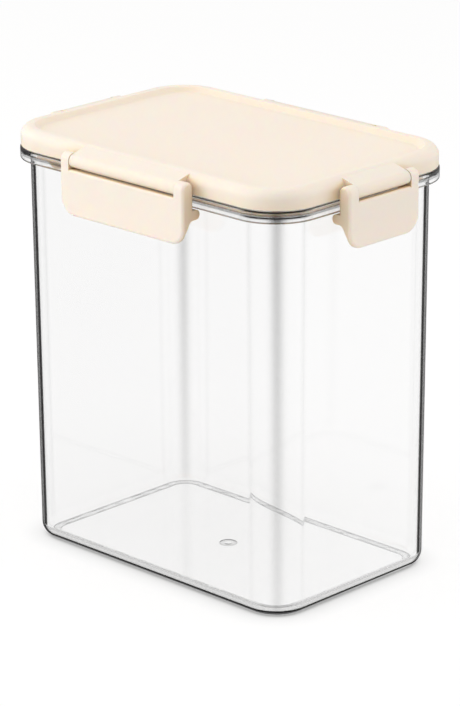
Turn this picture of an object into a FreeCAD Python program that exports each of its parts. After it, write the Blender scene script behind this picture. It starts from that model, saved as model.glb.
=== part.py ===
import FreeCAD, Part
import math
import os
import Sketcher

from FreeCAD import Placement, Rotation, Vector

# Clear rectangular food storage container with a cream lid that four snap latches hold down.
# Millimetres, +Z up, origin under the middle of the base, long side along X, front towards -Y.

DIMENSIONS = [
    ("body_length", 166.9, "tub, outside length at the top of the wall"),
    ("body_width", 109.6, "tub, outside width at the top of the wall"),
    ("body_height", 193.9, "tub, height of the sealing edge above the table"),
    ("body_corner", 18.4, "tub, outside radius of the upright corners"),
    ("body_taper", 1.4, "tub, how far each side leans in at the base"),
    ("wall", 2.2, "tub, wall thickness"),
    ("floor_top", 2.2, "tub, height of the inside floor above the table"),
    ("base_round", 6.0, "tub, outside radius along the base edge"),
    ("floor_round", 4.5, "tub, inside radius along the floor edge"),
    ("foot_width", 9.5, "tub, width of the foot ring from the side of the base"),
    ("foot_rise", 0.4, "tub, how far the underside stands off the table inside the foot ring"),
    ("gate_bore", 8.0, "tub, diameter of the gate well under the floor"),
    ("gate_depth", 0.5, "tub, depth of the gate well"),
    ("gate_nub", 3.4, "tub, diameter of the gate nub in the well"),
    ("flange_reach", 4.6, "rim, reach of the flange from the wall"),
    ("flange_drop", 3.5, "rim, from the sealing edge down to the top of the flange"),
    ("flange_thick", 2.4, "rim, thickness of the flange"),
    ("lip_depth", 5.6, "rim, height of the turned-down lip, flange included"),
    ("lip_thick", 1.9, "rim, thickness of the turned-down lip"),
    ("lip_round", 0.8, "rim, radius along the lip's edges"),
    ("sealing_round", 0.9, "rim, radius along the sealing edge"),
    ("seat_gap", 0.3, "lid, clearance between the skirt and the flange"),
    ("lid_setback", 0.4, "lid, how far the skirt stands back from the lip"),
    ("skirt_height", 9.3, "lid, height of the skirt with the stacking rim"),
    ("skirt_thick", 2.0, "lid, thickness of the skirt"),
    ("lid_round", 4.5, "lid, radius along the top edge"),
    ("stack_rim", 6.5, "lid, width of the raised stacking rim with its rounded edge"),
    ("stack_depth", 2.4, "lid, depth of the stacking recess"),
    ("recess_slope", 45.0, "lid, lean of the wall of the stacking recess, in degrees"),
    ("recess_round", 1.5, "lid, radius along both edges of that wall"),
    ("panel_thick", 1.6, "lid, thickness of the top panel"),
    ("plug_thick", 1.8, "lid, thickness of the plug wall"),
    ("plug_depth", 9.0, "lid, depth of the plug wall under the panel"),
    ("gasket_flank", 0.8, "gasket, thickness of the lip inside the sealing edge"),
    ("gasket_height", 2.8, "gasket, height of the ring"),
    ("gasket_fit", 0.3, "gasket, clearance beside the channel walls and around the sealing edge"),
    ("gasket_round", 0.3, "gasket, radius along the edges of its lips"),
    ("long_latch", 77.8, "latch, width on the long sides"),
    ("short_latch", 45.3, "latch, width on the short sides"),
    ("latch_stand", 8.4, "latch, how far the outer face stands off the skirt"),
    ("latch_drop", 25.0, "latch, from the hinge line to the lower edge"),
    ("knuckle_radius", 3.4, "latch, radius of the ears and half the thickness of the flap"),
    ("hinge_drop", 5.9, "hinge, from the top of the lid to the hinge line"),
    ("ear_width", 5.6, "latch, width of each ear"),
    ("ear_gap", 0.3, "hinge, clearance between an ear and the hinge bar"),
    ("bar_radius", 3.2, "hinge, radius of the hinge bar"),
    ("web_thick", 2.6, "hinge, thickness of the web that carries the bar"),
    ("web_slope", 15.0, "hinge, fall of the web from the lid to the bar, in degrees"),
    ("slot_gap", 0.35, "hinge, clearance between the hinge bar and the flap"),
    ("stub_radius", 1.6, "hinge, radius of the pivot stubs"),
    ("stub_length", 2.4, "hinge, length of the pivot stubs"),
    ("stub_clearance", 0.05, "hinge, running clearance around a stub"),
    ("hook_gap", 0.45, "latch, clearance between the hook and the lip"),
    ("hook_bite", 2.4, "latch, how far the hook reaches under the lip"),
    ("hook_height", 4.4, "latch, height of the hook"),
    ("hook_round", 2.1, "latch, radius of the hook nose"),
    ("shoulder_in", 1.4, "latch, where the flap turns down from the hook, inside the hinge line"),
    ("scoop_height", 5.2, "latch, height of the slope between the hook and the finger lip"),
    ("scoop_round", 3.0, "latch, radius at both ends of the slope"),
    ("finger_lip", 2.0, "latch, thickness of the finger lip"),
    ("flap_corner", 8.0, "latch, radius of the lower corners"),
    ("flap_edge", 1.4, "latch, radius around the outer face"),
    ("notch_edge", 1.1, "latch, radius along the edge under the hinge bar"),
    ("core_web", 2.4, "latch, thickness left in front of the core"),
    ("core_wall", 1.6, "latch, wall left over the hook and beside the ears"),
]

doc = FreeCAD.newDocument("food_storage_container")
sheet = doc.addObject("Spreadsheet::Sheet", "dims")
for row, (alias, value, note) in enumerate(DIMENSIONS, start=1):
    sheet.set("A%d" % row, alias)
    sheet.set("B%d" % row, str(value))
    sheet.set("C%d" % row, note)
    sheet.setAlias("B%d" % row, alias)
doc.recompute()


class Size:
    """A size that carries its present value and the sheet expression that it comes from."""

    def __init__(self, value, text):
        self.value = float(value)
        self.text = text

    @staticmethod
    def of(item):
        if isinstance(item, Size):
            return item
        return Size(item, repr(item))

    def __add__(self, other):
        other = Size.of(other)
        return Size(self.value + other.value, "(%s + %s)" % (self.text, other.text))

    def __sub__(self, other):
        other = Size.of(other)
        return Size(self.value - other.value, "(%s - %s)" % (self.text, other.text))

    def __mul__(self, other):
        other = Size.of(other)
        return Size(self.value * other.value, "(%s * %s)" % (self.text, other.text))

    def __truediv__(self, factor):
        return Size(self.value / factor, "(%s / %s)" % (self.text, factor))

    def __neg__(self):
        return Size(-self.value, "(-1 * %s)" % self.text)


def dim(alias):
    """One cell of the sheet as a Size."""
    return Size(sheet.get(alias), "dims.%s" % alias)


def of_angle(function, alias):
    """A trigonometric function of an angle in the sheet as a Size."""
    value = getattr(math, function)(math.radians(sheet.get(alias)))
    return Size(value, "%s(dims.%s * 1 deg)" % (function, alias))


def plane(body, role):
    """One of the body's own origin planes."""
    return [feature for feature in body.Origin.OriginFeatures if feature.Role == role][0]


def sketch_on(body, name, role, lift=None):
    """A sketch on an origin plane, moved along the plane's normal by lift."""
    sketch = body.newObject("Sketcher::SketchObject", name)
    sketch.AttachmentSupport = [(plane(body, role), "")]
    sketch.MapMode = "FlatFace"
    if lift is not None:
        sketch.setExpression("AttachmentOffset.Base.z", lift.text)
    return sketch


def hold(sketch, kind, places, size):
    """A dimension of a sketch, bound to the sheet."""
    index = sketch.addConstraint(Sketcher.Constraint(kind, *places, size.value))
    sketch.setExpression("Constraints[%d]" % index, size.text)


def pin(sketch, geometry, point, across, up):
    """Holds one point of a sketch at a place measured from the sketch origin."""
    for kind, size in (("DistanceX", across), ("DistanceY", up)):
        if size.value < 0:
            hold(sketch, kind, (geometry, point, -1, 1), -size)
        else:
            hold(sketch, kind, (-1, 1, geometry, point), size)


def rounded_rectangle(sketch, length, width, radius):
    """A rectangle around the sketch origin with four equal corner arcs."""
    x = length.value / 2
    y = width.value / 2
    r = radius.value
    up = Vector(0, 0, 1)
    sides = [
        Part.LineSegment(Vector(r - x, -y, 0), Vector(x - r, -y, 0)),
        Part.LineSegment(Vector(x, r - y, 0), Vector(x, y - r, 0)),
        Part.LineSegment(Vector(x - r, y, 0), Vector(r - x, y, 0)),
        Part.LineSegment(Vector(-x, y - r, 0), Vector(-x, r - y, 0)),
    ]
    middles = [
        Vector(x - r, r - y, 0), Vector(x - r, y - r, 0), Vector(r - x, y - r, 0), Vector(r - x, r - y, 0),
    ]
    lines = [sketch.addGeometry(side, False) for side in sides]
    arcs = []
    for quarter, middle in enumerate(middles):
        start = (quarter - 1) * math.pi / 2
        arc = Part.ArcOfCircle(Part.Circle(middle, up, r), start, start + math.pi / 2)
        arcs.append(sketch.addGeometry(arc, False))
    for index in range(4):
        sketch.addConstraint(Sketcher.Constraint("Tangent", lines[index], 2, arcs[index], 1))
        sketch.addConstraint(Sketcher.Constraint("Tangent", arcs[index], 2, lines[(index + 1) % 4], 1))
    for index in range(3):
        sketch.addConstraint(Sketcher.Constraint("Equal", arcs[index], arcs[index + 1]))
    sketch.addConstraint(Sketcher.Constraint("Horizontal", lines[0]))
    sketch.addConstraint(Sketcher.Constraint("Horizontal", lines[2]))
    sketch.addConstraint(Sketcher.Constraint("Vertical", lines[1]))
    sketch.addConstraint(Sketcher.Constraint("Vertical", lines[3]))
    sketch.addConstraint(Sketcher.Constraint("Symmetric", arcs[0], 3, arcs[2], 3, -1, 1))
    hold(sketch, "DistanceX", (lines[3], 1, lines[1], 1), length)
    hold(sketch, "DistanceY", (lines[0], 1, lines[2], 1), width)
    hold(sketch, "Radius", (arcs[0],), radius)


def polygon(sketch, points):
    """A closed outline through points, each held from the sketch origin."""
    count = len(points)
    lines = []
    for index in range(count):
        start = points[index]
        end = points[(index + 1) % count]
        line = Part.LineSegment(
            Vector(start[0].value, start[1].value, 0), Vector(end[0].value, end[1].value, 0)
        )
        lines.append(sketch.addGeometry(line, False))
    for line, following in zip(lines, lines[1:] + lines[:1]):
        sketch.addConstraint(Sketcher.Constraint("Coincident", line, 2, following, 1))
    for line, (across, up) in zip(lines, points):
        pin(sketch, line, 1, across, up)


def circle(sketch, radius, across=None, up=None):
    """A circle at the sketch origin, or at a place measured from it."""
    x = across.value if across is not None else 0
    y = up.value if up is not None else 0
    ring = sketch.addGeometry(Part.Circle(Vector(x, y, 0), Vector(0, 0, 1), radius.value), False)
    if across is None:
        sketch.addConstraint(Sketcher.Constraint("Coincident", ring, 3, -1, 1))
    else:
        pin(sketch, ring, 3, across, up)
    hold(sketch, "Radius", (ring,), radius)


def pad(body, name, sketch, length, reverse=False, both=False):
    """Adds the sketch's outline, drawn out by length."""
    feature = body.newObject("PartDesign::Pad", name)
    feature.Profile = sketch
    feature.setExpression("Length", length.text)
    feature.Reversed = reverse
    if both:
        feature.SideType = "Symmetric"
    doc.recompute()
    return feature


def pocket(body, name, sketch, length=None, reverse=False, slope=None):
    """Cuts the sketch's outline to a depth, or right through both ways; slope narrows it with depth."""
    feature = body.newObject("PartDesign::Pocket", name)
    feature.Profile = sketch
    if length is None:
        feature.Type = "ThroughAll"
        feature.SideType = "Symmetric"
    else:
        feature.setExpression("Length", length.text)
    if slope is not None:
        feature.setExpression("TaperAngle", "-dims.%s * 1 deg" % slope)
    feature.Reversed = reverse
    doc.recompute()
    return feature


def mirrored(body, name, originals, role):
    """Repeats features on the other side of an origin plane."""
    feature = body.newObject("PartDesign::Mirrored", name)
    feature.Originals = originals
    feature.MirrorPlane = (plane(body, role), [""])
    body.Tip = feature
    doc.recompute()
    return feature


def round_edges(body, name, radius, chosen):
    """Rounds each edge of the body so far that chosen picks."""
    base = body.Tip
    edges = ["Edge%d" % (n + 1) for n, edge in enumerate(base.Shape.Edges) if chosen(edge)]
    feature = body.newObject("PartDesign::Fillet", name)
    feature.Base = (base, edges)
    feature.setExpression("Radius", radius.text)
    doc.recompute()
    return feature


def near(value, size):
    """Whether a measured value equals a size."""
    return abs(value - size.value) < 1e-3


def level(edge, height):
    """Whether an edge lies flat at a height."""
    return near(edge.BoundBox.ZMin, height) and near(edge.BoundBox.ZMax, height)


def on_outline(edge, length, width, radius):
    """Whether a flat edge belongs to a rounded rectangle around the Z axis."""
    box = edge.BoundBox
    if edge.Curve.TypeId == "Part::GeomCircle":
        return near(edge.Curve.Radius, radius)
    across = max(abs(box.XMin + box.XMax), abs(box.YMin + box.YMax))
    on_end = box.XLength < 1e-4 and near(across, length)
    on_side = box.YLength < 1e-4 and near(across, width)
    return on_end or on_side


def at_point(edge, across, up):
    """Whether an edge along Y passes through a place in the XZ plane."""
    box = edge.BoundBox
    along = box.XLength < 1e-4 and box.ZLength < 1e-4
    return along and near(box.XMin, across) and near(box.ZMin, up)


# Heights and outlines that several pieces share.
flange_top = dim("body_height") - dim("flange_drop")
lip_bottom = flange_top - dim("lip_depth")
skirt_bottom = flange_top + dim("seat_gap")
lid_top = skirt_bottom + dim("skirt_height")
recess_floor = lid_top - dim("stack_depth")
panel_bottom = recess_floor - dim("panel_thick")
hinge_height = lid_top - dim("hinge_drop")
hinge_out = dim("latch_stand") - dim("knuckle_radius")
rim_length = dim("body_length") + dim("flange_reach") * 2
rim_width = dim("body_width") + dim("flange_reach") * 2
rim_corner = dim("body_corner") + dim("flange_reach")
lid_length = rim_length - dim("lid_setback") * 2
lid_width = rim_width - dim("lid_setback") * 2
lid_corner = rim_corner - dim("lid_setback")
base_length = dim("body_length") - dim("body_taper") * 2
base_width = dim("body_width") - dim("body_taper") * 2
base_corner = dim("body_corner") - dim("body_taper")
lean = "atan(dims.body_taper / dims.body_height)"
nothing = Size.of(0.0)


def body_outline(sketch, inset):
    """The outside of the tub at its top, moved in by inset."""
    rounded_rectangle(
        sketch, dim("body_length") - inset * 2, dim("body_width") - inset * 2, dim("body_corner") - inset
    )


def base_outline(sketch, inset):
    """The outside of the tub at the table, moved in by inset."""
    rounded_rectangle(sketch, base_length - inset * 2, base_width - inset * 2, base_corner - inset)


def rim_outline(sketch, inset):
    """The outside of the tub's rim, moved in by inset."""
    rounded_rectangle(sketch, rim_length - inset * 2, rim_width - inset * 2, rim_corner - inset)


def lid_outline(sketch, inset):
    """The outside of the lid's skirt, moved in by inset."""
    rounded_rectangle(sketch, lid_length - inset * 2, lid_width - inset * 2, lid_corner - inset)


def on_lid_outline(edge, inset):
    """Whether a flat edge belongs to the lid's outline, moved in by inset."""
    return on_outline(edge, lid_length - inset * 2, lid_width - inset * 2, lid_corner - inset)


def lean_sides(body, name, outward):
    """Leans the upright faces so far, so that they stand further out at the top."""
    base = body.Tip
    limit = base_length.value / 2 - dim("wall").value / 2
    faces = []
    for number, face in enumerate(base.Shape.Faces, start=1):
        upright = abs(face.normalAt(0, 0).z) < 1e-6
        inside = max(abs(face.BoundBox.XMin), abs(face.BoundBox.XMax)) < limit
        if upright and inside != outward:
            faces.append("Face%d" % number)
    feature = body.newObject("PartDesign::Draft", name)
    feature.Base = (base, faces)
    feature.NeutralPlane = (plane(body, "XY_Plane"), [""])
    feature.setExpression("Angle", lean)
    feature.Reversed = outward
    doc.recompute()
    return feature


def make_container_body():
    """The clear tub: leaning walls, rounded base on a foot ring, and a rim with a turned-down lip."""
    body = doc.addObject("PartDesign::Body", "container_body")
    outside = sketch_on(body, "base_outline", "XY_Plane")
    base_outline(outside, nothing)
    pad(body, "block", outside, dim("body_height"))
    lean_sides(body, "outer_lean", True)
    round_edges(body, "base_rounding", dim("base_round"), lambda edge: edge.BoundBox.ZMax < 1e-4)

    mouth = sketch_on(body, "mouth_outline", "XY_Plane", dim("body_height"))
    base_outline(mouth, dim("wall"))
    pocket(body, "inside", mouth, dim("body_height") - dim("floor_top"))
    lean_sides(body, "inner_lean", False)
    round_edges(body, "floor_rounding", dim("floor_round"), lambda edge: level(edge, dim("floor_top")))

    flange = sketch_on(body, "flange_outline", "XY_Plane", flange_top)
    rim_outline(flange, nothing)
    body_outline(flange, dim("wall") / 2)
    pad(body, "flange", flange, dim("flange_thick"), reverse=True)
    lip = sketch_on(body, "lip_outline", "XY_Plane", flange_top)
    rim_outline(lip, nothing)
    rim_outline(lip, dim("lip_thick"))
    pad(body, "lip", lip, dim("lip_depth"), reverse=True)

    foot = sketch_on(body, "foot_outline", "XY_Plane")
    base_outline(foot, dim("foot_width"))
    pocket(body, "foot_recess", foot, dim("foot_rise"), reverse=True)
    well = sketch_on(body, "gate_outline", "XY_Plane", dim("foot_rise"))
    circle(well, dim("gate_bore") / 2)
    circle(well, dim("gate_nub") / 2)
    pocket(body, "gate_well", well, dim("gate_depth"), reverse=True)

    round_edges(body, "sealing_edge", dim("sealing_round"), lambda edge: level(edge, dim("body_height")))
    round_edges(body, "lip_edge", dim("lip_round"), lambda edge: level(edge, lip_bottom))
    round_edges(
        body, "flange_edge", dim("lip_round"),
        lambda edge: level(edge, flange_top) and on_outline(edge, rim_length, rim_width, rim_corner),
    )
    return body


def hinge_bars(body, side, across, along, edge_offset, latch_width):
    """A pair of hinge bars on opposite sides of the lid, with a pivot socket in each end."""
    bar_length = latch_width - (dim("ear_width") + dim("ear_gap")) * 2
    axis_out = edge_offset + hinge_out
    web_bottom = hinge_height + dim("bar_radius") - dim("web_thick")
    root = edge_offset - dim("skirt_thick") / 2
    crown = edge_offset - dim("lid_round")
    panel_middle = panel_bottom + dim("panel_thick") / 2
    touch = axis_out + dim("bar_radius") * of_angle("sin", "web_slope")
    touch_height = hinge_height + dim("bar_radius") * of_angle("cos", "web_slope")
    web = sketch_on(body, side + "_web_outline", across)
    polygon(web, [
        (crown, touch_height + (touch - crown) * of_angle("tan", "web_slope")),
        (crown, panel_middle),
        (root, panel_middle),
        (root, web_bottom),
        (touch, web_bottom),
        (touch, touch_height),
    ])
    first_web = pad(body, side + "_web", web, bar_length, both=True)
    bar = sketch_on(body, side + "_bar_outline", across)
    circle(bar, dim("bar_radius"), axis_out, hinge_height)
    first_bar = pad(body, side + "_bar", bar, bar_length, both=True)
    mirrored(body, side + "_bar_pair", [first_web, first_bar], along)
    socket = sketch_on(body, side + "_socket_outline", across, bar_length / 2)
    circle(socket, dim("stub_radius") + dim("stub_clearance"), axis_out, hinge_height)
    circle(socket, dim("stub_radius") + dim("stub_clearance"), -axis_out, hinge_height)
    first_sockets = pocket(body, side + "_sockets", socket, dim("stub_length"))
    mirrored(body, side + "_socket_pairs", [first_sockets], across)


def make_lid():
    """The cream cover: skirt, stacking rim, plug wall and two pairs of hinge bars."""
    body = doc.addObject("PartDesign::Body", "lid")
    cover = sketch_on(body, "cover_outline", "XY_Plane", skirt_bottom)
    lid_outline(cover, nothing)
    pad(body, "cover", cover, dim("skirt_height"))
    round_edges(body, "top_rounding", dim("lid_round"), lambda edge: level(edge, lid_top))
    round_edges(body, "skirt_edge", dim("lip_round") / 2, lambda edge: level(edge, skirt_bottom))
    recess = sketch_on(body, "recess_outline", "XY_Plane", lid_top)
    lid_outline(recess, dim("stack_rim"))
    pocket(body, "stacking_recess", recess, dim("stack_depth"), slope="recess_slope")
    floor_inset = dim("stack_rim") + dim("stack_depth") * of_angle("tan", "recess_slope")
    round_edges(
        body, "recess_rounding", dim("recess_round"),
        lambda edge: level(edge, recess_floor) and on_lid_outline(edge, floor_inset)
        or level(edge, lid_top) and on_lid_outline(edge, dim("stack_rim")),
    )
    hollow = sketch_on(body, "hollow_outline", "XY_Plane", skirt_bottom)
    lid_outline(hollow, dim("skirt_thick"))
    pocket(body, "hollow", hollow, panel_bottom - skirt_bottom, reverse=True)
    plug = sketch_on(body, "plug_outline", "XY_Plane", panel_bottom)
    plug_inset = dim("wall") + dim("gasket_fit") * 2 + dim("gasket_flank")
    body_outline(plug, plug_inset)
    body_outline(plug, plug_inset + dim("plug_thick"))
    pad(body, "plug_wall", plug, dim("plug_depth"), reverse=True)
    hinge_bars(body, "long", "YZ_Plane", "XZ_Plane", lid_width / 2, dim("long_latch"))
    hinge_bars(body, "short", "XZ_Plane", "YZ_Plane", lid_length / 2, dim("short_latch"))
    return body


def make_lid_gasket():
    """The soft ring in the lid's channel, grooved to take the tub's sealing edge."""
    body = doc.addObject("PartDesign::Body", "lid_gasket")
    ring = sketch_on(body, "ring_outline", "XY_Plane", panel_bottom)
    lid_outline(ring, dim("skirt_thick") + dim("gasket_fit"))
    body_outline(ring, dim("wall") + dim("gasket_fit") + dim("gasket_flank"))
    pad(body, "ring", ring, dim("gasket_height"), reverse=True)
    ring_bottom = panel_bottom - dim("gasket_height")
    groove = sketch_on(body, "groove_outline", "XY_Plane", ring_bottom)
    body_outline(groove, -dim("gasket_fit"))
    body_outline(groove, dim("wall") + dim("gasket_fit"))
    pocket(body, "groove", groove, dim("body_height") - ring_bottom + dim("gasket_fit"), reverse=True)
    round_edges(body, "lip_rounding", dim("gasket_round"), lambda edge: level(edge, ring_bottom))
    return body


def hook_profile(sketch):
    """The latch from its end: ear, flat back, hook under the lip, slope and finger lip.

    The sketch origin is the hinge line, X points out of the container and Y points up.
    """
    r = dim("knuckle_radius")
    bottom = -dim("latch_drop")
    hook_top = lip_bottom - dim("hook_gap") - hinge_height
    hook_bottom = hook_top - dim("hook_height")
    hook_tip = dim("lid_setback") - dim("hook_bite") - hinge_out
    lip_in = r - dim("finger_lip")
    corners = [
        (hook_tip, hook_top),
        (hook_tip, hook_bottom),
        (-dim("shoulder_in"), hook_bottom),
        (lip_in, hook_bottom - dim("scoop_height")),
        (lip_in, bottom),
        (r, bottom),
    ]
    spots = [Vector(across.value, up.value, 0) for across, up in corners]
    back_foot = Vector(-r.value, hook_top.value, 0)
    back = sketch.addGeometry(Part.LineSegment(Vector(-r.value, 0, 0), back_foot), False)
    lines = [sketch.addGeometry(Part.LineSegment(back_foot, spots[0]), False)]
    for start, end in zip(spots, spots[1:]):
        lines.append(sketch.addGeometry(Part.LineSegment(start, end), False))
    front = sketch.addGeometry(Part.LineSegment(spots[-1], Vector(r.value, 0, 0)), False)
    ear = Part.ArcOfCircle(Part.Circle(Vector(0, 0, 0), Vector(0, 0, 1), r.value), 0, math.pi)
    ear = sketch.addGeometry(ear, False)
    chain = [back] + lines + [front]
    for first, second in zip(chain, chain[1:]):
        sketch.addConstraint(Sketcher.Constraint("Coincident", first, 2, second, 1))
    for line, (across, up) in zip(lines, corners):
        pin(sketch, line, 2, across, up)
    sketch.addConstraint(Sketcher.Constraint("Vertical", front))
    sketch.addConstraint(Sketcher.Constraint("PointOnObject", front, 2, -1))
    sketch.addConstraint(Sketcher.Constraint("Coincident", ear, 3, -1, 1))
    sketch.addConstraint(Sketcher.Constraint("Coincident", front, 2, ear, 1))
    sketch.addConstraint(Sketcher.Constraint("Coincident", ear, 2, back, 1))
    sketch.addConstraint(Sketcher.Constraint("PointOnObject", back, 1, -1))
    sketch.addConstraint(Sketcher.Constraint("Vertical", back))
    hold(sketch, "DistanceY", (back, 2, -1, 1), -hook_top)
    return hook_top, hook_bottom, hook_tip, lip_in


def lower_corner(sketch, half_width, bottom, radius, side):
    """The waste outside one rounded lower corner of the flap; side is 1 or -1."""
    spare = Size.of(1.0)
    middle = Vector(side * (half_width.value - radius.value), bottom.value + radius.value, 0)
    start = math.pi * 1.5 if side > 0 else math.pi
    arc = Part.ArcOfCircle(Part.Circle(middle, Vector(0, 0, 1), radius.value), start, start + math.pi / 2)
    inner = half_width - radius
    outer = half_width + spare
    points = [
        (inner, bottom - spare),
        (outer, bottom - spare),
        (outer, bottom + radius),
    ]
    spots = [Vector(side * across.value, up.value, 0) for across, up in points]
    low = Vector(side * inner.value, bottom.value, 0)
    high = Vector(side * half_width.value, bottom.value + radius.value, 0)
    path = [low] + spots + [high]
    lines = []
    for first, second in zip(path, path[1:]):
        lines.append(sketch.addGeometry(Part.LineSegment(first, second), False))
    arc = sketch.addGeometry(arc, False)
    for first, second in zip(lines, lines[1:]):
        sketch.addConstraint(Sketcher.Constraint("Coincident", first, 2, second, 1))
    arc_low, arc_high = (1, 2) if side > 0 else (2, 1)
    sketch.addConstraint(Sketcher.Constraint("Coincident", arc, arc_low, lines[0], 1))
    sketch.addConstraint(Sketcher.Constraint("Coincident", arc, arc_high, lines[-1], 2))
    for line, (across, up) in zip(lines, points):
        pin(sketch, line, 2, across * side, up)
    sketch.addConstraint(Sketcher.Constraint("Vertical", lines[0]))
    sketch.addConstraint(Sketcher.Constraint("Horizontal", lines[-1]))
    pin(sketch, arc, 3, inner * side, bottom + radius)
    hold(sketch, "Radius", (arc,), radius)


def make_latch(name, width, turn, out_x, out_y):
    """A snap flap with two ears, pivot stubs and a hook; the body's origin is on its hinge line."""
    body = doc.addObject("PartDesign::Body", name)
    half_width = width / 2
    bottom = -dim("latch_drop")
    profile = sketch_on(body, "hook_profile", "XZ_Plane")
    hook_top, hook_bottom, hook_tip, lip_in = hook_profile(profile)
    pad(body, "flap", profile, width, both=True)
    round_edges(
        body, "hook_rounding", dim("hook_round"),
        lambda edge: at_point(edge, hook_tip, hook_top) or at_point(edge, hook_tip, hook_bottom),
    )
    round_edges(
        body, "scoop_rounding", dim("scoop_round"),
        lambda edge: at_point(edge, -dim("shoulder_in"), hook_bottom)
        or at_point(edge, lip_in, hook_bottom - dim("scoop_height")),
    )
    trim = sketch_on(body, "lower_corners", "YZ_Plane")
    lower_corner(trim, half_width, bottom, dim("flap_corner"), 1)
    lower_corner(trim, half_width, bottom, dim("flap_corner"), -1)
    pocket(body, "corner_trim", trim)

    inner_half = half_width - dim("ear_width")
    notch_bottom = -(dim("bar_radius") + dim("slot_gap"))
    above = dim("knuckle_radius") * 2
    notch = sketch_on(body, "notch_outline", "YZ_Plane")
    polygon(notch, [
        (-inner_half, notch_bottom),
        (inner_half, notch_bottom),
        (inner_half, above),
        (-inner_half, above),
    ])
    pocket(body, "bar_notch", notch)
    core_half = inner_half - dim("core_wall")
    core = sketch_on(body, "core_outline", "YZ_Plane", dim("knuckle_radius") - dim("core_web"))
    polygon(core, [
        (-core_half, hook_top + dim("core_wall")),
        (core_half, hook_top + dim("core_wall")),
        (core_half, above),
        (-core_half, above),
    ])
    pocket(body, "core", core, dim("knuckle_radius") * 3)
    round_edges(
        body, "face_rounding", dim("flap_edge"),
        lambda edge: near(edge.BoundBox.XMin, dim("knuckle_radius")) and level(edge, bottom),
    )
    round_edges(
        body, "notch_rounding", dim("notch_edge"),
        lambda edge: at_point(edge, dim("knuckle_radius"), notch_bottom),
    )
    stub = sketch_on(body, "stub_outline", "XZ_Plane", inner_half)
    circle(stub, dim("stub_radius"))
    first_stub = pad(body, "stub", stub, dim("stub_length"), reverse=True)
    mirrored(body, "stub_pair", [first_stub], "XZ_Plane")
    body.Placement = Placement(
        Vector(out_x.value, out_y.value, hinge_height.value), Rotation(Vector(0, 0, 1), turn)
    )
    body.setExpression("Placement.Base.x", out_x.text)
    body.setExpression("Placement.Base.y", out_y.text)
    body.setExpression("Placement.Base.z", hinge_height.text)
    return body


end_out = lid_length / 2 + hinge_out
side_out = lid_width / 2 + hinge_out
pieces = [
    make_container_body(),
    make_lid(),
    make_lid_gasket(),
    make_latch("latch_front", dim("long_latch"), -90, nothing, -side_out),
    make_latch("latch_back", dim("long_latch"), 90, nothing, side_out),
    make_latch("latch_right", dim("short_latch"), 0, end_out, nothing),
    make_latch("latch_left", dim("short_latch"), 180, -end_out, nothing),
]
doc.recompute()

for item in doc.Objects:
    if "Invalid" in item.State or "Error" in item.State:
        raise RuntimeError("%s did not build" % item.Label)
os.makedirs("parts", exist_ok=True)
for piece in pieces:
    if piece.Shape.isNull() or not piece.Shape.isValid():
        raise RuntimeError("%s has no sound solid" % piece.Label)
    piece.Shape.exportStep("parts/%s.step" % piece.Label)
    print(piece.Label, round(piece.Shape.Volume / 1000.0, 2), "cm3")
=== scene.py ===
import math
from collections import namedtuple

import bpy
import numpy as np
from mathutils import Matrix, Vector


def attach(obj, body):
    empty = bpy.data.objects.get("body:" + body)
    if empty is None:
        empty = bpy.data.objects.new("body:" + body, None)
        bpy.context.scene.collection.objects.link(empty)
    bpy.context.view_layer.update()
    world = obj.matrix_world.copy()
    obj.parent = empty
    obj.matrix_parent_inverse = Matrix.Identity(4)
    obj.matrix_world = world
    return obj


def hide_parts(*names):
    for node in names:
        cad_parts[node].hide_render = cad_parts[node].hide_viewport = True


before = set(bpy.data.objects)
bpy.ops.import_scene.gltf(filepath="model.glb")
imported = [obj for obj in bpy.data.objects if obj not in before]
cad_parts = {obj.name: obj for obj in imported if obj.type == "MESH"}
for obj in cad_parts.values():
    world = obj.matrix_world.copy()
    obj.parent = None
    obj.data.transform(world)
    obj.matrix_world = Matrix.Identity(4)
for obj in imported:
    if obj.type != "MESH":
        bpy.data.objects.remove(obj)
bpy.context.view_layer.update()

MM = 0.001
WHITE = (1, 1, 1, 1)
BLACK = (0, 0, 0, 1)

# Sizes in millimetres, as the solids have them.
LID_TOP = 200.0
TUB_LENGTH = 166.9
TUB_WIDTH = 109.6
TUB_HEIGHT = 193.9
TUB_CORNER = 18.4
TUB_LEAN = 1.4
WALL = 2.2
FLOOR_TOP = 2.2
BASE_ROUND = 6.0
FLOOR_ROUND = 4.5
FOOT_WIDTH = 9.5
FOOT_RISE = 0.4
GATE_RADIUS = 4.0
GATE_DEPTH = 0.5
NUB_RADIUS = 1.7
RIM_REACH = 4.6
FLANGE_TOP = 190.4
FLANGE_THICK = 2.4
LIP_DEPTH = 5.6
LIP_LOW = FLANGE_TOP - LIP_DEPTH
LIP_THICK = 1.9
LIP_ROUND = 0.8
SEALING_ROUND = 0.9

# Points of the tub's outline: in a corner, evenly along a side, and one more at each end of a side. SIDE_END
# is how far that one is from the corner, as a share of the side.
CORNER_POINTS = 25
LONG_SIDE_POINTS = 14
SHORT_SIDE_POINTS = 10
SIDE_END = 0.012

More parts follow.
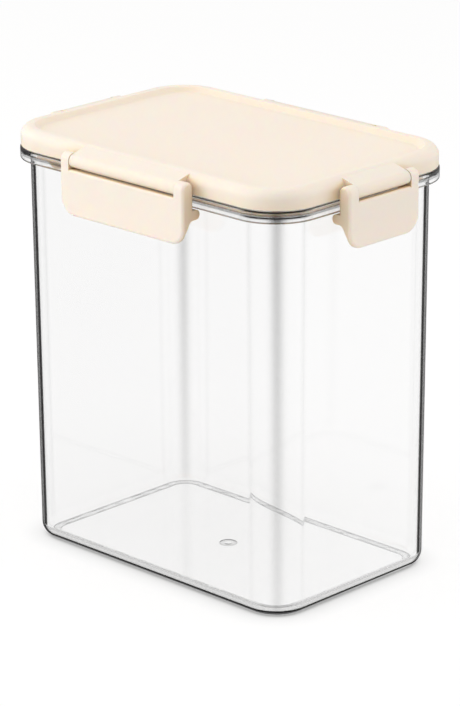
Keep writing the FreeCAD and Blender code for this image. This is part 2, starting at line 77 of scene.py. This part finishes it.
# Painted shade in the clear plastic: how much of a near-black sheet is mixed in, for dark lines and bands
# that stand in for what the plastic bends and reflects. It runs from 0 for none to 1 for all, at shares of
# the way along each stretch of the tub's profile.
NO_PAINTED_DARK = ((0, 0), (1, 0))
FLOOR_UNDERSIDE_PAINTED_DARK = ((0, 0), (1, 0.3))
FOOT_STEP_PAINTED_DARK = ((0, 0.3), (1, 0.45))
FOOT_RING_PAINTED_DARK = ((0, 0.85), (0.26, 0.85), (0.34, 0.38), (0.66, 0.38), (0.74, 0.85), (1, 0.85))
BASE_EDGE_PAINTED_DARK = ((0, 0.75), (0.06, 0.2), (0.12, 0), (1, 0))
FLANGE_UNDERSIDE_PAINTED_DARK = ((0, 0.1), (1, 0.15))
LIP_INSIDE_PAINTED_DARK = ((0, 0.15), (0.3, 0.1), (0.5, 0), (1, 0))
LIP_INNER_BEND_PAINTED_DARK = ((0, 0), (1, 0.35))
LIP_EDGE_PAINTED_DARK = ((0, 0.35), (1, 0.35))
LIP_OUTER_BEND_PAINTED_DARK = ((0, 0.35), (0.5, 0), (1, 0))
LIP_OUTSIDE_PAINTED_DARK = (
    (0, 0), (0.25, 0.03), (0.38, 0.12), (0.48, 0.42), (0.56, 0.12), (0.7, 0.05), (0.82, 0.14), (0.92, 0.05),
    (1, 0.12),
)
FLANGE_BEND_PAINTED_DARK = ((0, 0.12), (0.3, 0.3), (0.6, 0.4), (0.9, 0.4), (1, 0.15))
FLANGE_TOP_PAINTED_DARK = ((0, 0.1), (1, 0))

# The wall is clear. Its upright mark rises to full up to its second point, and behind the lip falls to none
# up to the second point there.
WALL_PAINTED_DARK = ((0, 0), (0.005, 0), (1, 0))
BEHIND_LIP_PAINTED_DARK = ((0, 0), (0.1, 0), (1, 0))

# Painted dark line on the rounded base edge as seen from outside, at shares of its arc from the foot to the
# wall.
BASE_LINE = (
    (0, 0), (0.3, 0), (0.4, 0.2), (0.54, 0.25), (0.575, 0.97), (0.7, 0.97), (0.74, 0.3), (0.8, 0.2),
    (0.9, 0.22), (0.96, 0.34), (1, 0.34),
)

# Painted shade in the gate: at the nub's root, and at the top and the lower edge of the well.
NUB_PAINTED_DARK = 0.15
WELL_TOP_PAINTED_DARK = 0.25
WELL_EDGE_PAINTED_DARK = 0.4

# Painted shade along the upright corners: on a corner's middle line and where a side begins, each with the
# width of its bell curve, over the bend that rounded_path gives. The upright mark is none from the bend
# CORNER_END on, and full CORNER_FADE before that.
CORNER_PAINTED_DARK = 0.085
CORNER_WIDTH = 0.2
SIDE_PAINTED_DARK = 0.022
SIDE_WIDTH = 0.1
CORNER_END = 0.9
CORNER_FADE = 0.2

# Ramps over one minus the cosine of the angle between the clear skin's normal and the sight line: the painted
# shade in the upright corners, and where the rim counts as seen square on. There RIM_GAIN times its painted
# shade is added to it.
EDGE_SHADE = [(0.0, 0.0), (0.52, 0.0), (0.55, 0.97), (0.65, 0.97), (0.69, 0.72), (1.0, 0.66)]
SQUARE_ON = [(0.0, 1.0), (0.15, 1.0), (0.3, 0.0), (1.0, 0.0)]
RIM_GAIN = 3.0
CLEAR_TINT = (0.983, 0.983, 0.983, 1)
# The near-black sheet that the painted shade mixes into the glass.
PAINTED_SHADE_BLACK = (0.012, 0.012, 0.012, 1)
PASSED_LIGHT = (0.97, 0.97, 0.97, 1)

# Tones of the cream plastic and of the seal. The warm and the brown cream are painted shade, for sheltered
# places and creases, over the open sky within SHELTER_REACH.
CREAM = (0.917, 0.834, 0.740, 1)
PALE_CREAM = (0.938, 0.864, 0.780, 1)
SHADE_WARM_CREAM = (0.86, 0.69, 0.46, 1)
CREASE_SHADE_BROWN = (0.40, 0.27, 0.15, 1)
SHELTER_REACH = 0.05
MILKY_GREY = (0.83, 0.83, 0.81, 1)
MILKY_WHITE = (0.90, 0.90, 0.88, 1)

# The room, the lamps and the table. CONTACT_SHADOW is the light left on the table, over the share of open
# sky within CONTACT_REACH. It is full again close under the base, because light comes through the clear tub.
ROOM_LEVEL = 0.655
ROOM_TONE = (1.0, 0.96, 0.92, 1)
LAMP_AIM = (0, 0, 0.12)
TABLE_REACH = 6.0
TABLE_LIT = (0.85, 0.85, 0.85, 1)
PAPER = (0.246, 0.25, 0.255, 1)
PAPER_GLOW = 0.758
CONTACT_REACH = 0.012
CONTACT_SHADOW = [
    (0.0, 1.0), (0.03, 1.0), (0.08, 0.3), (0.17, 0.35), (0.225, 0.48), (0.28, 0.54), (0.35, 0.7),
    (0.45, 0.81), (0.6, 0.9), (0.8, 0.96), (1.0, 1.0),
]

# Greys of the table in mirror-like surfaces, from the camera's left over the middle to its right.
LEFT_GREY = 0.25
MIDDLE_GREY = 0.2
RIGHT_GREY = 0.8
RIGHTWARD = (0.7, 0.7, 0)

# The camera, fitted to the photograph's outlines: degrees, metres and pixels.
CAMERA_TURN = 44.513
CAMERA_RISE = 18.648
CAMERA_ROLL = -0.352
CAMERA_AIM = (0, 0, 0.1)
CAMERA_DISTANCE = 1.585288
CAMERA_ACROSS = 0.000608
CAMERA_UPWARD = -0.004409
FOCAL_PIXELS = 3438.938
PICTURE_PIXELS = 706


class Flow:
    """A value that runs through a node tree. Arithmetic on it adds Math nodes."""

    def __init__(self, tree, socket):
        self.tree = tree
        self.socket = socket

    def maths(self, operation, *values):
        return self.tree.node("ShaderNodeMath", {"operation": operation}, dict(enumerate(values)))

    def __add__(self, other):
        return self.maths("ADD", self, other)

    __radd__ = __add__

    def __sub__(self, other):
        return self.maths("SUBTRACT", self, other)

    def __rsub__(self, other):
        return self.maths("SUBTRACT", other, self)

    def __mul__(self, other):
        return self.maths("MULTIPLY", self, other)

    __rmul__ = __mul__

    def or_else(self, other):
        """The larger of two values."""
        return self.maths("MAXIMUM", self, other)

    def from_signed(self):
        """A value between -1 and 1 brought to between 0 and 1."""
        return self * 0.5 + 0.5


class Recipe:
    """The node tree of a material or a world. Every node but its output comes from the method node."""

    def __init__(self, owner):
        owner.use_nodes = True
        self.tree = owner.node_tree
        self.tree.nodes.clear()

    def node(self, kind, settings=None, inputs=None, output=0):
        made = self.tree.nodes.new(kind)
        for name, value in (settings or {}).items():
            if name == "stops":
                self.fill_ramp(made.color_ramp, value)
            else:
                setattr(made, name, value)
        for name, value in (inputs or {}).items():
            if isinstance(value, Flow):
                self.tree.links.new(value.socket, made.inputs[name])
            else:
                made.inputs[name].default_value = value
        return Flow(self, made.outputs[output])

    @staticmethod
    def fill_ramp(ramp, stops):
        while len(ramp.elements) < len(stops):
            ramp.elements.new(1.0)
        for element, (place, level) in zip(ramp.elements, stops):
            element.position = place
            element.color = (level, level, level, 1.0)

    def ramp(self, value, stops):
        return self.node("ShaderNodeValToRGB", {"stops": stops}, {"Fac": value})

    def place(self):
        return self.node("ShaderNodeTexCoord", output="Object")

    def noise(self, place, scale, detail):
        return self.node("ShaderNodeTexNoise", None, {"Vector": place, "Scale": scale, "Detail": detail})

    def open_sky(self, reach, samples):
        """The share of the sky over a surface that nothing within reach hides."""
        return self.node("ShaderNodeAmbientOcclusion", {"samples": samples}, {"Distance": reach}, "AO")

    def mark(self, name):
        return self.node("ShaderNodeAttribute", {"attribute_name": name}, output="Fac")

    def ray(self, kind):
        return self.node("ShaderNodeLightPath", output="Is %s Ray" % kind)

    def vector(self, operation, *values, output=0):
        return self.node("ShaderNodeVectorMath", {"operation": operation}, dict(enumerate(values)), output)

    def dot(self, first, second):
        return self.vector("DOT_PRODUCT", first, second, output="Value")

    def mix_colour(self, factor, first, second):
        return self.node("ShaderNodeMix", {"data_type": "RGBA"}, {0: factor, 6: first, 7: second}, 2)

    def mix_shader(self, factor, first, second):
        return self.node("ShaderNodeMixShader", None, {0: factor, 1: first, 2: second})

    def diffuse(self, colour):
        return self.node("ShaderNodeBsdfDiffuse", None, {"Color": colour})

    def glow(self, colour, strength):
        return self.node("ShaderNodeEmission", None, {"Color": colour, "Strength": strength})

    def finish(self, shader, kind="ShaderNodeOutputMaterial"):
        end = self.tree.nodes.new(kind)
        self.tree.links.new(shader.socket, end.inputs["Surface"])


def material(name):
    made = bpy.data.materials.new(name)
    return made, Recipe(made)


def cream_plastic(name, deep_shade_level, crease_shade_level, low_shade_level):
    """Warm cream polypropylene: satin, with a fine moulded grain and faint uneven tone.

    The share of open sky sets two painted shades. Half-sheltered places are painted warmer and darker, and
    the most sheltered ones by the given deep shade level. Creases are painted with brown shade by the given
    crease shade level, and by a fifth of that on faces that look in towards the middle. Up to 0.955 of the
    lid's height the painted warm shade is at least the given low shade level, which fades out by 0.985.
    """
    made, recipe = material(name)
    place = recipe.place()
    tone = recipe.noise(place, 9.0, 2.0)
    grain = recipe.noise(place, 1900.0, 3.0)
    face = recipe.mix_colour(tone, CREAM, PALE_CREAM)
    # Painted shade: warmer, darker cream where little sky is open, and low on the lid's skirt.
    sky = recipe.open_sky(SHELTER_REACH, 8)
    shelter_shade = recipe.ramp(sky, [(0.0, deep_shade_level), (0.35, deep_shade_level), (0.6, 0.8), (0.97, 0.0)])
    height = recipe.dot(place, (0, 0, 1 / (LID_TOP * MM)))
    skirt_shade = recipe.ramp(height, [(0.0, low_shade_level), (0.955, low_shade_level), (0.985, 0.0), (1.0, 0.0)])
    shaded_face = recipe.mix_colour(shelter_shade.or_else(skirt_shade), face, SHADE_WARM_CREAM)
    aside = recipe.vector("NORMALIZE", recipe.vector("MULTIPLY", place, (1, 1, 0)))
    outward = recipe.dot(recipe.node("ShaderNodeNewGeometry", output="Normal"), aside)
    exposed = recipe.ramp(outward.from_signed(), [(0.0, 0.2), (0.3, 0.2), (0.45, 1.0), (1.0, 1.0)])
    # Painted shade: brown in creases.
    painted_crease = recipe.ramp(sky, [(0.0, crease_shade_level), (0.25, crease_shade_level * 0.7), (0.8, 0.0)]) * exposed
    colour = recipe.mix_colour(painted_crease, shaded_face, CREASE_SHADE_BROWN)
    bump = recipe.node("ShaderNodeBump", None, {"Strength": 0.06, "Distance": 0.00005, "Height": grain})
    skin = recipe.node("ShaderNodeBsdfPrincipled", None, {
        "Base Color": colour, "Roughness": grain * 0.10 + 0.36, "Normal": bump, "IOR": 1.49,
        "Subsurface Weight": 0.5, "Subsurface Radius": (1.0, 0.5, 0.2), "Subsurface Scale": 0.002,
    })
    recipe.finish(skin)
    return made


def soft_seal():
    """Milky silicone: a soft sheen and a faint uneven tone."""
    made, recipe = material("soft_seal")
    tone = recipe.noise(recipe.place(), 60.0, 2.0)
    colour = recipe.mix_colour(tone, MILKY_GREY, MILKY_WHITE)
    skin = recipe.node("ShaderNodeBsdfPrincipled", None, {
        "Base Color": colour, "Roughness": tone * 0.1 + 0.45, "IOR": 1.41,
    })
    recipe.finish(skin)
    return made


def clear_plastic():
    """Clear moulded plastic: it bends light, and dark lines of painted shade lie along its edges.

    The painted shade, a near-black sheet mixed into the glass, is the largest of three. Upright corners take
    EDGE_SHADE as they turn edge-on. The mesh's own painted shade counts everywhere, and more in the rim where
    that is seen square on. The base edge's painted line counts only from outside. Shadow rays and soft light
    pass straight through, but for the mesh's own painted shade.
    """
    made, recipe = material("clear_plastic")
    loss = recipe.mark("loss")
    facing = recipe.node("ShaderNodeLayerWeight", None, {"Blend": 0.5}, "Facing")
    from_outside = 1 - recipe.node("ShaderNodeNewGeometry", output="Backfacing")
    corner_shade = recipe.ramp(facing, EDGE_SHADE) * recipe.mark("upright")
    rim_gain = recipe.mark("rim") * recipe.ramp(facing, SQUARE_ON) * RIM_GAIN
    # Painted shade: how much near-black sheet is mixed into the glass.
    dark = corner_shade.or_else(loss * (rim_gain + 1)).or_else(recipe.mark("base_line") * from_outside)
    glass = recipe.node("ShaderNodeBsdfPrincipled", None, {
        "Base Color": CLEAR_TINT, "Roughness": 0.0, "IOR": 1.5, "Transmission Weight": 1.0,
    })
    solid = recipe.mix_shader(dark, glass, recipe.diffuse(PAINTED_SHADE_BLACK))
    open_way = recipe.node("ShaderNodeBsdfTransparent", None, {"Color": PASSED_LIGHT})
    passing = recipe.ray("Shadow").or_else(recipe.ray("Diffuse"))
    recipe.finish(recipe.mix_shader(passing * (1 - loss), solid, open_way))
    return made


def studio_floor():
    """White table: white to the eye and through clear plastic, with a soft shadow that deepens at the base.

    Mirror-like surfaces see it grey, by how far the way from the origin to a place points to the right.
    """
    made, recipe = material("studio_floor")
    seen = recipe.ray("Camera").or_else(recipe.ray("Transmission"))
    sky = recipe.open_sky(CONTACT_REACH, 16)
    contact = 1 - recipe.ray("Camera") * (1 - recipe.ramp(sky, CONTACT_SHADOW))
    paper = recipe.node("ShaderNodeAddShader", None, {
        0: recipe.diffuse(PAPER), 1: recipe.glow(WHITE, PAPER_GLOW),
    })
    white = recipe.mix_shader(contact, recipe.diffuse(BLACK), paper)
    aside = recipe.dot(recipe.vector("NORMALIZE", recipe.place()), RIGHTWARD)
    grey = recipe.ramp(aside.from_signed(), [
        (0.0, LEFT_GREY), (0.35, MIDDLE_GREY), (0.65, MIDDLE_GREY), (1.0, RIGHT_GREY),
    ])
    reflected = recipe.ray("Glossy") * (1 - recipe.ray("Transmission"))
    plain = recipe.mix_shader(seen, recipe.diffuse(TABLE_LIT), white)
    recipe.finish(recipe.mix_shader(reflected, plain, recipe.glow(grey, 1.0)))
    return made


def studio_world():
    """An even pale room, white to the eye and through clear plastic."""
    world = bpy.data.worlds.new("studio")
    bpy.context.scene.world = world
    recipe = Recipe(world)
    white = recipe.node("ShaderNodeBackground", None, {"Color": WHITE, "Strength": 1.0})
    room = recipe.node("ShaderNodeBackground", None, {"Color": ROOM_TONE, "Strength": ROOM_LEVEL})
    seen = recipe.ray("Camera").or_else(recipe.ray("Transmission"))
    recipe.finish(recipe.mix_shader(seen, room, white), "ShaderNodeOutputWorld")


def placed(name, data):
    """A new object in the scene."""
    made = bpy.data.objects.new(name, data)
    bpy.context.scene.collection.objects.link(made)
    return made


def softbox(name, place, side, power):
    """A square area lamp turned to LAMP_AIM, hidden from mirror-like surfaces and behind clear plastic."""
    lamp = bpy.data.lights.new(name, "AREA")
    lamp.shape = "SQUARE"
    lamp.size = side
    lamp.energy = power
    holder = placed(name, lamp)
    holder.location = place
    holder.rotation_euler = (Vector(LAMP_AIM) - Vector(place)).to_track_quat("-Z", "Y").to_euler()
    holder.visible_transmission = False
    holder.visible_glossy = False


def camera():
    """The camera at the photograph's place: turned about the container, raised, and rolled a little.

    It stands back from the aim along the sight line and is shifted across and upward of it. Its lens is the
    focal length in pixels, as a share of the picture's long side.
    """
    turn, rise, roll = (math.radians(angle) for angle in (CAMERA_TURN, CAMERA_RISE, CAMERA_ROLL))
    back = Vector((math.sin(turn) * math.cos(rise), -math.cos(turn) * math.cos(rise), math.sin(rise)))
    level_right = Vector((math.cos(turn), math.sin(turn), 0))
    level_up = back.cross(level_right)
    right = math.cos(roll) * level_right + math.sin(roll) * level_up
    up = back.cross(right)
    shift = CAMERA_ACROSS * level_right + CAMERA_UPWARD * level_up
    eye = Vector(CAMERA_AIM) + shift + CAMERA_DISTANCE * back
    data = bpy.data.cameras.new("camera")
    data.lens = FOCAL_PIXELS * data.sensor_width / PICTURE_PIXELS
    holder = placed("camera", data)
    holder.matrix_world = Matrix((
        (right.x, up.x, back.x, eye.x),
        (right.y, up.y, back.y, eye.y),
        (right.z, up.z, back.z, eye.z),
        (0, 0, 0, 1),
    ))
    bpy.context.scene.camera = holder


def table():
    """The table: one square around the origin."""
    corners = TABLE_REACH * np.array([(-1, -1, 0), (1, -1, 0), (1, 1, 0), (-1, 1, 0)])
    mesh = bpy.data.meshes.new("floor")
    mesh.from_pydata(corners.tolist(), [], [(0, 1, 2, 3)])
    mesh.materials.append(studio_floor())
    return placed("floor", mesh)


def dress(node, finish):
    """Gives a CAD node its finish."""
    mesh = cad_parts[node].data
    mesh.materials.clear()
    mesh.materials.append(finish)


def rounded_path():
    """The tub's top outline anticlockwise from above, its outward normals, and its bends.

    Each corner is a quarter turn of TUB_CORNER around its own middle. The straight sides between the
    corners are cut into equal steps, with one more point close to each end. The bend is 0 on a corner's
    middle line, 1 at the corner's two ends and 2 on a side.
    """
    middle = np.array([TUB_LENGTH / 2 - TUB_CORNER, TUB_WIDTH / 2 - TUB_CORNER])
    quadrants = [(1, -1), (1, 1), (-1, 1), (-1, -1)]
    points, normals, bends = [], [], []
    for quarter, quadrant in enumerate(quadrants):
        turn = np.linspace(quarter - 1, quarter, CORNER_POINTS) * math.pi / 2
        outward = np.column_stack([np.cos(turn), np.sin(turn)])
        points.append(middle * quadrant + TUB_CORNER * outward)
        normals.append(outward)
        bends.append(np.abs(np.linspace(-1, 1, CORNER_POINTS)))
        following = middle * quadrants[(quarter + 1) % 4] + TUB_CORNER * outward[-1]
        steps = SHORT_SIDE_POINTS if quarter % 2 == 0 else LONG_SIDE_POINTS
        even = np.linspace(0, 1, steps + 2)[1:-1]
        share = np.concatenate([[SIDE_END], even, [1 - SIDE_END]])[:, None]
        points.append(points[-1][-1] * (1 - share) + following * share)
        normals.append(np.repeat(outward[-1:], len(share), axis=0))
        bends.append(np.full(len(share), 2.0))
    return np.concatenate(points), np.concatenate(normals), np.concatenate(bends)


def corner_painted_dark(bend):
    """Painted shade along the upright corners: bell curves over the middle line and where a side begins."""
    at_middle = CORNER_PAINTED_DARK * np.exp(-(bend / CORNER_WIDTH) ** 2)
    return at_middle + SIDE_PAINTED_DARK * np.exp(-((bend - 1) / SIDE_WIDTH) ** 2)


# A stretch of the tub's profile: points of (offset from the top outline, height), their normals in the same
# plane, and the marks that the clear plastic reads.
Stretch = namedtuple("Stretch", "points normals marks")


def straight(start, end, dark_stops=NO_PAINTED_DARK, upright=0):
    """A straight stretch with a point at each share of its painted shade stops. Its normal lies to the right
    of the way.
    """
    share, loss = np.array(dark_stops, float).T
    way = np.subtract(end, start)
    normal = np.array([way[1], -way[0]]) / np.hypot(*way)
    marks = {"loss": loss, "upright": np.full(len(share), upright), "base_line": np.zeros(len(share))}
    return Stretch(np.array(start) + share[:, None] * way, np.tile(normal, (len(share), 1)), marks)


def turned(middle, radius, start, end, dark_stops=NO_PAINTED_DARK, line=NO_PAINTED_DARK, steps=9, hollow=False):
    """A stretch on an arc, angles in degrees. The normal points off the middle, or to it where hollow."""
    share = np.linspace(0, 1, steps)
    angle = np.radians(start + share * (end - start))
    outward = np.column_stack([np.cos(angle), np.sin(angle)])
    marks = {
        "loss": np.interp(share, *np.array(dark_stops, float).T),
        "upright": np.zeros(steps),
        "base_line": np.interp(share, *np.array(line, float).T),
    }
    return Stretch(np.array(middle) + radius * outward, -outward if hollow else outward, marks)


def tub_profile():
    """The tub's cut, as stretches that follow one another.

    They run from the foot ring up the outside, over the sealing edge and down the inside to the floor. The
    walls lean by TUB_LEAN over TUB_HEIGHT.
    """
    lean = math.atan(TUB_LEAN / TUB_HEIGHT)
    tilt = math.degrees(lean)
    sine, cosine = math.sin(lean), math.cos(lean)

    def on_wall(height):
        return -TUB_LEAN * (1 - height / TUB_HEIGHT), height

    def beside(foot, height, gap):
        """A middle at a height that stands a gap off the wall line that starts at foot."""
        return foot + (height * sine + gap) / cosine, height

    foot_in = -TUB_LEAN - FOOT_WIDTH
    wall_in = -TUB_LEAN - WALL
    edge_height = TUB_HEIGHT - SEALING_ROUND
    under_flange = FLANGE_TOP - FLANGE_THICK
    lip_in = RIM_REACH - LIP_THICK
    bend_in = lip_in + LIP_ROUND
    bend_out = RIM_REACH - LIP_ROUND
    bend_low = LIP_LOW + LIP_ROUND
    bend_high = FLANGE_TOP - LIP_ROUND

    base_middle = beside(-TUB_LEAN, BASE_ROUND, -BASE_ROUND)
    base_edge = turned(base_middle, BASE_ROUND, -90, -tilt, BASE_EDGE_PAINTED_DARK, BASE_LINE, steps=41)
    outer_edge = turned(beside(-TUB_LEAN, edge_height, -SEALING_ROUND), SEALING_ROUND, -tilt, 90)
    inner_edge = turned(beside(wall_in, edge_height, SEALING_ROUND), SEALING_ROUND, 90, 180 - tilt)
    floor_middle = beside(wall_in, FLOOR_TOP + FLOOR_ROUND, -FLOOR_ROUND)
    floor_edge = turned(floor_middle, FLOOR_ROUND, -tilt, -90, steps=15, hollow=True)
    return [
        straight((foot_in - FOOT_RISE, FOOT_RISE), (foot_in, FOOT_RISE), FLOOR_UNDERSIDE_PAINTED_DARK),
        straight((foot_in, FOOT_RISE), (foot_in, 0), FOOT_STEP_PAINTED_DARK),
        straight((foot_in, 0), base_edge.points[0], FOOT_RING_PAINTED_DARK),
        base_edge,
        straight(base_edge.points[-1], on_wall(LIP_LOW), WALL_PAINTED_DARK, upright=1),
        straight(on_wall(LIP_LOW), on_wall(under_flange), BEHIND_LIP_PAINTED_DARK),
        straight(on_wall(under_flange), (lip_in, under_flange), FLANGE_UNDERSIDE_PAINTED_DARK),
        straight((lip_in, under_flange), (lip_in, bend_low), LIP_INSIDE_PAINTED_DARK),
        turned((bend_in, bend_low), LIP_ROUND, 180, 270, LIP_INNER_BEND_PAINTED_DARK),
        straight((bend_in, LIP_LOW), (bend_out, LIP_LOW), LIP_EDGE_PAINTED_DARK),
        turned((bend_out, bend_low), LIP_ROUND, -90, 0, LIP_OUTER_BEND_PAINTED_DARK),
        straight((RIM_REACH, bend_low), (RIM_REACH, bend_high), LIP_OUTSIDE_PAINTED_DARK),
        turned((bend_out, bend_high), LIP_ROUND, 0, 90, FLANGE_BEND_PAINTED_DARK),
        straight((bend_out, FLANGE_TOP), on_wall(FLANGE_TOP), FLANGE_TOP_PAINTED_DARK),
        straight(on_wall(FLANGE_TOP), outer_edge.points[0]),
        outer_edge,
        straight(outer_edge.points[-1], inner_edge.points[0]),
        inner_edge,
        straight(inner_edge.points[-1], floor_edge.points[0]),
        floor_edge,
    ]


class Skin:
    """A closed mesh that grows ring by ring, with the exact normal kept for every corner of every face."""

    def __init__(self):
        self.rings = []
        self.faces = []
        self.normals = []
        self.marks = {"loss": [], "upright": [], "base_line": [], "rim": []}

    def ring(self, points, **marks):
        """Adds points with their marks, each one number for the whole ring or one for every point."""
        first = sum(len(ring) for ring in self.rings)
        self.rings.append(points)
        for name, values in self.marks.items():
            values.append(np.zeros(len(points)) + marks.get(name, 0))
        return first + np.arange(len(points))

    def strip(self, lower, upper, lower_normal, upper_normal):
        """Quads between two rings of equal count."""
        after = np.roll(np.arange(len(lower)), -1)
        self.faces.extend(np.column_stack([lower, lower[after], upper[after], upper]).tolist())
        corners = np.stack([lower_normal, lower_normal[after], upper_normal[after], upper_normal], axis=1)
        self.normals.append(corners.reshape(-1, 3))

    def fan(self, ring, pole, normal):
        """Triangles from a ring to one point, anticlockwise from the side that the normal points to."""
        after = np.roll(ring, -1)
        first, second = (ring, after) if normal[2] > 0 else (after, ring)
        self.faces.extend(np.column_stack([first, second, np.full(len(ring), pole[0])]).tolist())
        self.normals.append(np.tile(normal, (3 * len(ring), 1)))

    def build(self, name, finish):
        mesh = bpy.data.meshes.new(name)
        mesh.from_pydata((np.concatenate(self.rings) * MM).tolist(), [], self.faces)
        mesh.polygons.foreach_set("use_smooth", np.ones(len(mesh.polygons), bool))
        for kept, values in self.marks.items():
            mesh.attributes.new(kept, "FLOAT", "POINT").data.foreach_set("value", np.concatenate(values))
        mesh.normals_split_custom_set(np.concatenate(self.normals).tolist())
        mesh.materials.append(finish)
        mesh.update()
        return placed(name, mesh)


def clear_tub(finish):
    """The tub: its profile carried round the outline, a floor inside, and the gate well under it.

    A profile point's offset moves the outline along its normals. The gate's rings are circles whose points
    lie in the same directions as the outline's.
    """
    points, normals, bends = rounded_path()
    painted_dark_in_corner = corner_painted_dark(bends)
    in_corner = np.clip((CORNER_END - bends) / CORNER_FADE, 0, 1)
    count = len(points)
    flat = np.zeros((count, 1))
    outward = np.hstack([normals, flat])
    turn = np.arctan2(points[:, 1], points[:, 0])
    radial = np.column_stack([np.cos(turn), np.sin(turn), flat])
    upward = np.array([0.0, 0.0, 1.0])
    down = np.tile(-upward, (count, 1))
    skin = Skin()

    def round_ring(radius, height, loss=0):
        return skin.ring(radius * radial + height * upward, loss=loss)

    def outline_ring(offset, height, **marks):
        return skin.ring(np.hstack([points + offset * normals, flat + height]), **marks)

    well_top = FOOT_RISE + GATE_DEPTH
    nub_low = round_ring(NUB_RADIUS, FOOT_RISE)
    nub_high = round_ring(NUB_RADIUS, well_top, NUB_PAINTED_DARK)
    well_high = round_ring(GATE_RADIUS, well_top, WELL_TOP_PAINTED_DARK)
    well_low = round_ring(GATE_RADIUS, FOOT_RISE, WELL_EDGE_PAINTED_DARK)
    well_rim = round_ring(GATE_RADIUS + GATE_DEPTH, FOOT_RISE)
    skin.fan(nub_low, skin.ring(np.array([[0, 0, FOOT_RISE]])), -upward)
    skin.strip(nub_low, nub_high, radial, radial)
    skin.strip(nub_high, well_high, down, down)
    skin.strip(well_high, well_low, -radial, -radial)
    skin.strip(well_low, well_rim, down, down)

    profile = tub_profile()
    last = outline_ring(*profile[0].points[0])
    skin.strip(well_rim, last, down, down)
    for stretch in profile:
        bent = [slope * outward + rise * upward for slope, rise in stretch.normals]
        for step in range(1, len(stretch.points)):
            offset, height = stretch.points[step]
            # Painted shade of the stretch, or along upright corners by how upright the skin is, whichever is
            # darker.
            loss = np.maximum(stretch.marks["loss"][step], painted_dark_in_corner * abs(stretch.normals[step][0]))
            following = outline_ring(
                offset, height, loss=loss, upright=stretch.marks["upright"][step] * in_corner,
                base_line=stretch.marks["base_line"][step], rim=height > LIP_LOW,
            )
            skin.strip(last, following, bent[step - 1], bent[step])
            last = following
    skin.fan(last, skin.ring(np.array([[0, 0, FLOOR_TOP]])), upward)
    return skin.build("clear_tub", finish)


latch_cream = cream_plastic("latch_cream", deep_shade_level=1.0, crease_shade_level=1.0, low_shade_level=0.0)
for latch in ("latch_front", "latch_back", "latch_right", "latch_left"):
    dress(latch, latch_cream)
dress("lid", cream_plastic("lid_cream", deep_shade_level=0.3, crease_shade_level=0.1, low_shade_level=0.3))
dress("lid_gasket", soft_seal())

tub = clear_tub(clear_plastic())
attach(tub, "container")
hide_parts("container_body")

floor = table()

studio_world()
softbox("left_box", place=(-1.5, -1.5, 0.95), side=1.4, power=24)
softbox("right_box", place=(1.25, 1.4, 0.9), side=1.2, power=9)
softbox("top_box", place=(0.3, -0.3, 2.2), side=1.4, power=9.5)
camera()
bpy.context.scene.view_settings.view_transform = "Standard"
